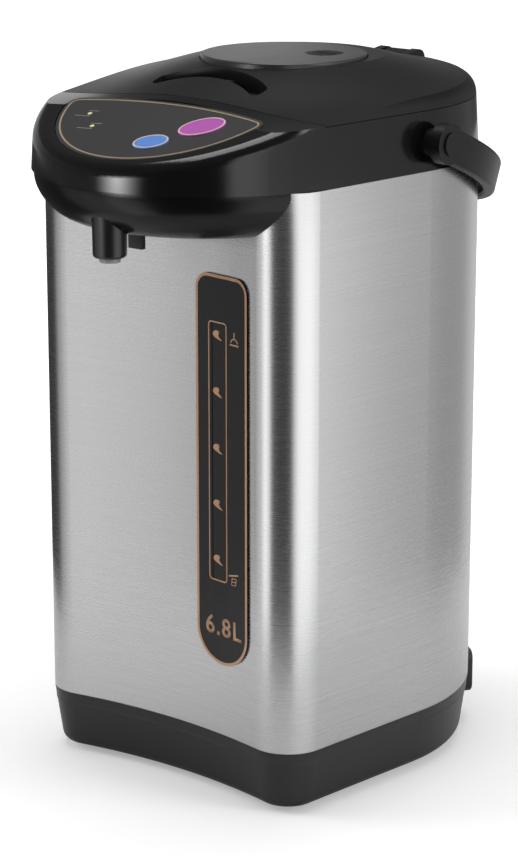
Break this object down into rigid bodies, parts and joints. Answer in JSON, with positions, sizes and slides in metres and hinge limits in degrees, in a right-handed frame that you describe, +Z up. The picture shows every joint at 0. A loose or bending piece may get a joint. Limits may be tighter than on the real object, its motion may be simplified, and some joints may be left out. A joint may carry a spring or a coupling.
{
  "type": "electric thermo pot",
  "caption": "Electric thermo pot with a domed hinged lid, a hand pump disc, a spout under an overhanging nose, a side level gauge and a swinging carry handle.",
  "frame": {"origin": "centre of the bounding box in plan, on the floor the feet stand on", "axes": "+Z up; the spout looks along -Y and the lid hinge is at +Y; +X is the side with the level gauge"},
  "size_m": [0.2404, 0.2979, 0.4142],
  "materials": {
    "base_black": "satin dark grey-black moulded plastic",
    "head_gloss": "glossy black moulded plastic",
    "lid_satin": "satin black moulded plastic",
    "shell_steel": "satin stainless with fine upright grain",
    "pot_steel": "polished stainless",
    "part_steel": "bright steel",
    "fascia_dark": "fine satin dark film",
    "button_blue": "soft gloss blue rubbery key",
    "button_purple": "soft gloss purple rubbery key",
    "lens_amber": "clear amber lens",
    "disc_grey": "satin grey-black press plate",
    "rubber_black": "soft rubber",
    "silicone": "milky silicone",
    "inner_white": "heat-proof light grey plastic",
    "board_green": "lacquered circuit board",
    "clear_glass": "clear glass",
    "panel_dark": "dark coppery striped film",
    "handle_satin": "satin black moulded plastic"
  },
  "bodies": {
    "base": {"base_housing": "base_black", "base_cover": "base_black", "base_screws": "part_steel", "rubber_feet": "rubber_black", "power_inlet": "base_black", "inlet_pins": "part_steel", "power_board": "board_green", "outer_shell": "shell_steel", "inner_pot": "pot_steel", "boil_heater": "part_steel", "keep_warm_band": "part_steel", "thermostat": "part_steel", "thermal_fuse": "part_steel", "gauge_panel": "panel_dark", "gauge_window": "clear_glass", "gauge_tube": "clear_glass", "pump_housing": "inner_white", "pump_motor": "part_steel", "drain_hose": "silicone", "riser_hose": "silicone", "spout_pipe": "silicone", "nozzle_outer": "head_gloss", "nozzle_inner": "inner_white", "head_housing": "head_gloss", "head_chin": "head_gloss", "throat_ring": "inner_white", "rim_seal": "silicone", "control_fascia": "fascia_dark", "indicator_lenses": "lens_amber", "control_board": "board_green", "lever_pin": "part_steel", "lever_switch": "board_green", "hinge_bracket": "base_black", "hinge_pin": "part_steel", "handle_pivots": "handle_satin"},
    "lid": {"lid_shell": "lid_satin", "lid_inner_cover": "inner_white", "lid_gasket": "silicone", "bellows": "silicone", "disc_spring": "part_steel"},
    "latch": {"lid_latch": "lid_satin"},
    "press": {"press_disc": "disc_grey", "vent_grille": "lid_satin"},
    "handle": {"carry_handle": "handle_satin"},
    "boil": {"button_boil": "button_blue"},
    "dispense": {"button_dispense": "button_purple"},
    "lever": {"cup_lever": "head_gloss"},
    "impeller": {"pump_impeller": "inner_white"},
    "rotor": {"motor_rotor": "part_steel"}
  },
  "joints": [
    {"name": "lid_hinge", "type": "hinge", "parent": "base", "child": "lid", "pos_m": [0, 0.13146, 0.3995], "axis": [-1, 0, 0], "range_deg": [0, 100]},
    {"name": "handle_swing", "type": "hinge", "parent": "base", "child": "handle", "pos_m": [0, 0.01876, 0.3734], "axis": [1, 0, 0], "range_deg": [0, 125]},
    {"name": "disc_press", "type": "slide", "parent": "lid", "child": "press", "axis": [0, 0, -1], "range_m": [0, 0.02], "stiffness_N_per_m": 150, "springref_m": -0.02, "deforming": ["bellows", "disc_spring"]},
    {"name": "latch_slide", "type": "slide", "parent": "lid", "child": "latch", "axis": [0, 1, 0], "range_m": [0, 0.004], "stiffness_N_per_m": 300, "springref_m": -0.003},
    {"name": "boil_press", "type": "slide", "parent": "base", "child": "boil", "axis": [0, 0.3304, -0.9439], "range_m": [0, 0.0008], "stiffness_N_per_m": 800, "springref_m": -0.0006},
    {"name": "dispense_press", "type": "slide", "parent": "base", "child": "dispense", "axis": [0, 0.3304, -0.9439], "range_m": [0, 0.0008], "stiffness_N_per_m": 800, "springref_m": -0.0006},
    {"name": "lever_swing", "type": "hinge", "parent": "base", "child": "lever", "pos_m": [0, -0.10954, 0.339], "axis": [1, 0, 0], "range_deg": [0, 10], "stiffness_Nm_per_rad": 0.05, "springref_deg": -5.73},
    {"name": "rotor_spin", "type": "hinge", "parent": "base", "child": "rotor", "pos_m": [0.03, -0.02154, 0.042], "axis": [0, 0, 1], "continuous": true},
    {"name": "impeller_spin", "type": "hinge", "parent": "base", "child": "impeller", "pos_m": [0.03, -0.02154, 0.052], "axis": [0, 0, 1], "continuous": true}
  ],
  "couplings": [
    {"joint": "impeller_spin", "follows": "rotor_spin", "ratio": 1}
  ]
}
